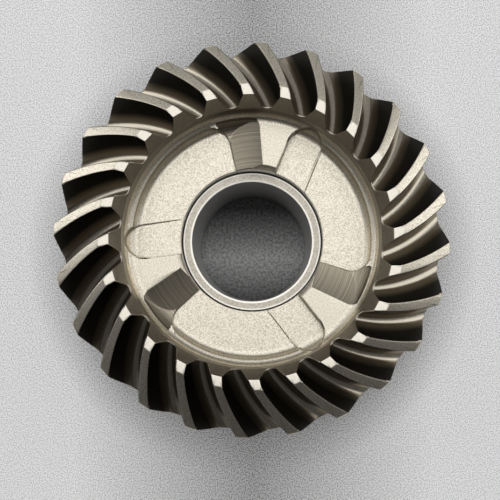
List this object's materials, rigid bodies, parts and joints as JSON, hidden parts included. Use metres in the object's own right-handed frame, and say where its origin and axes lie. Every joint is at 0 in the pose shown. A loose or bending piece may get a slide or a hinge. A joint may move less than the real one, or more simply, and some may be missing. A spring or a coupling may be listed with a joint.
{
  "type": "outboard reverse gear",
  "caption": "Spiral bevel reverse gear of an outboard lower unit, with dog clutch jaws sunk in its dished face, a bushed bore for the propeller shaft and a bearing journal behind.",
  "frame": {"origin": "on the gear axis, at the hub's end face", "axes": "+Z along the gear axis towards the teeth, +X to the right and +Y up as the picture shows the clutch face"},
  "size_m": [0.0782, 0.0782, 0.0312],
  "materials": {
    "gear_steel": "blasted and machined, satin",
    "bush_steel": "fine turned"
  },
  "bodies": {
    "root": {"gear_body": "gear_steel", "bore_bush": "bush_steel"}
  },
  "joints": []
}
